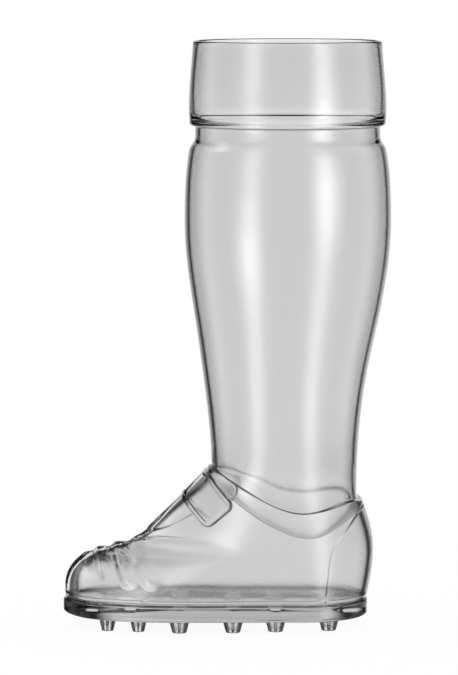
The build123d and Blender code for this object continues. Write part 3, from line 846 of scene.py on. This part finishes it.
sides = [("clear_glass", LEG_ROUGH, EDGE_PAINTED_SHADE, SOLE_TINT, SOLE_TOP),
         ("clear_glass_inside", BOOT_ROUGH, GLASS_TINT, FLOOR_TINT, FLOOR_TOP)]
for name, boot_rough, grazing_shade_colour, low_tint, low_top in sides:
    material, tree, output = new_material(name)
    place_on = add_node(tree, "TexCoord")
    swell = add_node(tree, "TexNoise", Vector=place_on.outputs["Object"], Scale=WAVE_SCALE, Detail=1.0)
    wave = add_node(tree, "Bump", Height=swell.outputs[0], Strength=1.0, Distance=WAVE_DEPTH)
    axes = add_node(tree, "SeparateXYZ", _0=place_on.outputs["Object"]).outputs
    level = axes[2]
    aside = add_node(tree, "Math", operation="ABSOLUTE", _0=axes[1]).outputs[0]
    rough = passage(tree, level, (ROUGH_BELOW, CLEAR_ABOVE), boot_rough, LEG_ROUGH)
    rough = passage(tree, aside, FLANK, LEG_ROUGH, rough)
    rough = passage(tree, level, CLEAR_FLOOR, LEG_ROUGH, rough)
    over_studs = passage(tree, level, ((TREAD - TINT_BLEND) * MM, TREAD * MM), 0.0, 1.0)
    tint = blend(tree, over_studs, STUD_TINT, low_tint)
    over_sole = passage(tree, level, ((low_top - TINT_BLEND) * MM, low_top * MM), 0.0, 1.0)
    tint = blend(tree, over_sole, tint, GLASS_TINT)
    # Painted shade: towards grazing angles the colour passes to the dark outline colour, above the sole only.
    facing_away = add_node(tree, "LayerWeight", Blend=0.5).outputs["Facing"]
    tint = blend(tree, passage(tree, facing_away, EDGE_SHADE_FACING, 0.0, over_sole), tint, grazing_shade_colour)
    shader = add_node(tree, "BsdfPrincipled", Base_Color=tint, Roughness=rough, IOR=BENDING,
                      Transmission_Weight=1.0, Normal=wave.outputs[0])
    tree.links.new(shader.outputs[0], output.inputs["Surface"])
    mesh.materials.append(material)
print("glass outside and inside:", [m.name for m in mesh.materials])

# %% [markdown]
# ## Camera
# The photograph was taken from the side with a long lens, a little above the rim, looking
# down a few degrees: the rim shows as a thin ellipse and the far edge of the sole shows
# through the boot.

# %% Camera
CAMERA_PLACE = Vector((1.86, -2388.8, 400.0)) * MM
CAMERA_AIM = Vector((1.86, 0.0, 168.1)) * MM
LENS = 220.65
SENSOR = 36.0
camera = bpy.data.objects.new("camera", bpy.data.cameras.new("camera"))
camera.data.lens = LENS
camera.data.sensor_width = SENSOR
camera.location = CAMERA_PLACE
camera.rotation_mode = "QUATERNION"
camera.rotation_quaternion = (CAMERA_AIM - CAMERA_PLACE).to_track_quat("-Z", "Y")
bpy.context.scene.collection.objects.link(camera)
bpy.context.scene.camera = camera
print("camera", round((CAMERA_AIM - CAMERA_PLACE).length, 3), "m from the glass")

# %% [markdown]
# ## Studio
# Clear glass shows what is round it. A photographer stands it before a white window in a
# dark tent: the middle of the glass shows the window, and the edges, which bend light from
# the sides, turn dark and draw the outline. Two tall soft boxes in front lay two pale bands
# down the leg, a dim glow at either side lightens the inner part of the dark edges, and a
# small light high on the left catches the toe ribs. The tent hangs on the camera, as if the
# glass turned on its table and the studio stayed.

# %% Tent
TENT_SIZE = 40.0
WINDOW_TURN = math.radians(2)
WINDOW_SIDES = (math.radians(13), math.radians(29))
WINDOW_TOP = (math.radians(12), math.radians(32))
WINDOW_SLOPE = 0.6
TENT_DARK = 0.03
TABLE = (math.radians(-30), math.radians(-60))
TABLE_GLOW = 0.45
BOXES = [(-47, 14, -15, 48, 1.7), (45, 14, -15, 48, 2.3)]
TOE_LIGHT = (-80, 12, 36, 9, 2.6)
SIDE_TURN = math.radians(68)
SIDE_SOFT = math.radians(14)
SIDE_GLOW = 0.5

material, tree, output = new_material("tent")


def math_node(operation, first, second=0.0, third=0.0):
    """Output of one math node, whose inputs are numbers or other outputs."""
    settings = {"operation": operation, "_0": first}
    if operation not in ("ABSOLUTE", "ARCSINE", "EXPONENT"):
        settings["_1"] = second
    if operation == "MULTIPLY_ADD":
        settings["_2"] = third
    return add_node(tree, "Math", **settings).outputs[0]


def bell(value, middle, width):
    """Soft bump that is 1 at the middle and falls off over a width."""
    off = math_node("DIVIDE", math_node("SUBTRACT", value, middle), width)
    return math_node("EXPONENT", math_node("MULTIPLY", math_node("MULTIPLY", off, off), -1.0))


def fade(value, full, none):
    """1 up to one value and 0 past another, with a soft passage between them."""
    made = add_node(tree, "MapRange", interpolation_type="SMOOTHSTEP", _0=value, _1=full, _2=none,
                    _3=1.0, _4=0.0)
    return made.outputs[0]


place_on = add_node(tree, "TexCoord")
way = add_node(tree, "VectorMath", operation="NORMALIZE", _0=place_on.outputs["Object"])
axes = add_node(tree, "SeparateXYZ", _0=way.outputs[0]).outputs
rise = math_node("ARCSINE", axes[1])
behind = math_node("ARCTAN2", axes[0], math_node("MULTIPLY", axes[2], -1.0))
before = math_node("ARCTAN2", axes[0], axes[2])
aside = math_node("ABSOLUTE", math_node("SUBTRACT", behind, WINDOW_TURN))
window = math_node("MULTIPLY", fade(aside, *WINDOW_SIDES), fade(math_node("ABSOLUTE", rise), *WINDOW_TOP))
window = math_node("MULTIPLY", window, math_node("MULTIPLY_ADD", axes[1], -WINDOW_SLOPE, 1.0))
table = math_node("MULTIPLY", fade(rise, TABLE[1], TABLE[0]), TABLE_GLOW)
light = math_node("ADD", math_node("MAXIMUM", window, table), TENT_DARK)
light = math_node("MULTIPLY_ADD", bell(math_node("ABSOLUTE", behind), SIDE_TURN, SIDE_SOFT), SIDE_GLOW, light)
for bearing, (turn, wide, level, tall, glow) in [(behind, TOE_LIGHT)] + [(before, box) for box in BOXES]:
    strip = math_node("MULTIPLY", bell(rise, math.radians(level), math.radians(tall)), glow)
    light = math_node("MULTIPLY_ADD", bell(bearing, math.radians(turn), math.radians(wide)), strip, light)
shine = add_node(tree, "Emission", Strength=light)
tree.links.new(shine.outputs[0], output.inputs["Surface"])

shell = bmesh.new()
bmesh.ops.create_uvsphere(shell, u_segments=64, v_segments=32, radius=TENT_SIZE)
bmesh.ops.reverse_faces(shell, faces=shell.faces[:])
tent = bpy.data.objects.new("tent", bpy.data.meshes.new("tent"))
shell.to_mesh(tent.data)
shell.free()
tent.data.materials.append(material)
tent.parent = camera
tent.visible_camera = False
tent.visible_diffuse = False
tent.visible_shadow = False
bpy.context.scene.collection.objects.link(tent)
tent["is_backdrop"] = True
print("tent nodes:", len(tree.nodes))

# %% [markdown]
# Two small soft lamps stand close to the leg, one on either side of the camera. They are so
# near that each one brightens only one stretch of its pale band.

# %% Lamps
LAMPS = [(-47, 146, 80, 4.2), (45, 268, 90, 4.2)]
LAMP_DISTANCE = 300
LAMP_REACH = 1.6

for turn, height, spread, glow in LAMPS:
    material, tree, output = new_material("lamp")
    half = math.radians(turn / 2)
    whole = math.radians(turn)
    on_leg = Vector((AXIS_X + CALF_RADIUS * math.sin(half), -CALF_RADIUS * math.cos(half), height))
    outward = Vector((math.sin(whole), -math.cos(whole), 0))
    middle = (on_leg + outward * LAMP_DISTANCE) * MM
    place_on = add_node(tree, "TexCoord")
    off = add_node(tree, "VectorMath", operation="DISTANCE", _0=place_on.outputs["Object"], _1=middle)
    strength = math_node("MULTIPLY", bell(off.outputs["Value"], 0.0, spread * MM), glow)
    light = add_node(tree, "Emission", Strength=strength)
    clear = add_node(tree, "BsdfTransparent")
    both = add_node(tree, "AddShader", _0=light.outputs[0], _1=clear.outputs[0])
    tree.links.new(both.outputs[0], output.inputs["Surface"])
    disc = bmesh.new()
    turned = Matrix.Translation(middle) @ outward.to_track_quat("Z", "Y").to_matrix().to_4x4()
    bmesh.ops.create_circle(disc, cap_ends=True, segments=48, radius=LAMP_REACH * spread * MM, matrix=turned)
    lamp = bpy.data.objects.new("lamp", bpy.data.meshes.new("lamp"))
    disc.to_mesh(lamp.data)
    disc.free()
    lamp.data.materials.append(material)
    lamp.visible_camera = False
    lamp.visible_diffuse = False
    lamp.visible_transmission = False
    lamp.visible_shadow = False
    bpy.context.scene.collection.objects.link(lamp)
    lamp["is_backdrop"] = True
print(len(LAMPS), "lamps")

# %% [markdown]
# The floor is plain and pale. To the camera it is as white as the background, and it still
# takes the faint shadow of the glass.

# %% Floor and world
FLOOR_SIZE = 3.0
SHADOW_SHARE = 0.06
FLOOR_WHITE = 1.005
PAPER = (0.96, 0.96, 0.96, 1)

material, tree, output = new_material("floor")
paper = add_node(tree, "BsdfDiffuse", Color=PAPER)
white = add_node(tree, "Emission", Strength=FLOOR_WHITE)
path = add_node(tree, "LightPath")
seen = add_node(tree, "MixShader", _0=SHADOW_SHARE, _1=white.outputs[0], _2=paper.outputs[0])
ground = add_node(tree, "MixShader", _0=path.outputs["Is Camera Ray"], _1=paper.outputs[0],
                  _2=seen.outputs[0])
tree.links.new(ground.outputs[0], output.inputs["Surface"])
sheet = bmesh.new()
bmesh.ops.create_circle(sheet, cap_ends=True, segments=96, radius=FLOOR_SIZE)
floor = bpy.data.objects.new("floor", bpy.data.meshes.new("floor"))
sheet.to_mesh(floor.data)
sheet.free()
floor.data.materials.append(material)
floor.visible_transmission = False
floor.visible_glossy = False
bpy.context.scene.collection.objects.link(floor)
floor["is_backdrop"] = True

world = bpy.data.worlds.new("studio")
world.use_nodes = True
world.node_tree.nodes["Background"].inputs["Color"].default_value = (1, 1, 1, 1)
world.node_tree.nodes["Background"].inputs["Strength"].default_value = 1.0
bpy.context.scene.world = world
bpy.context.scene.view_settings.view_transform = "Standard"
print("floor of", FLOOR_SIZE, "m")

# %% Sizes of the frame and of the skin
seen_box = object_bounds()
growth = (seen_box[1] - seen_box[0]) - (cad_box[1] - cad_box[0])
print("grown by", [round(side / MM, 2) for side in growth], "mm")
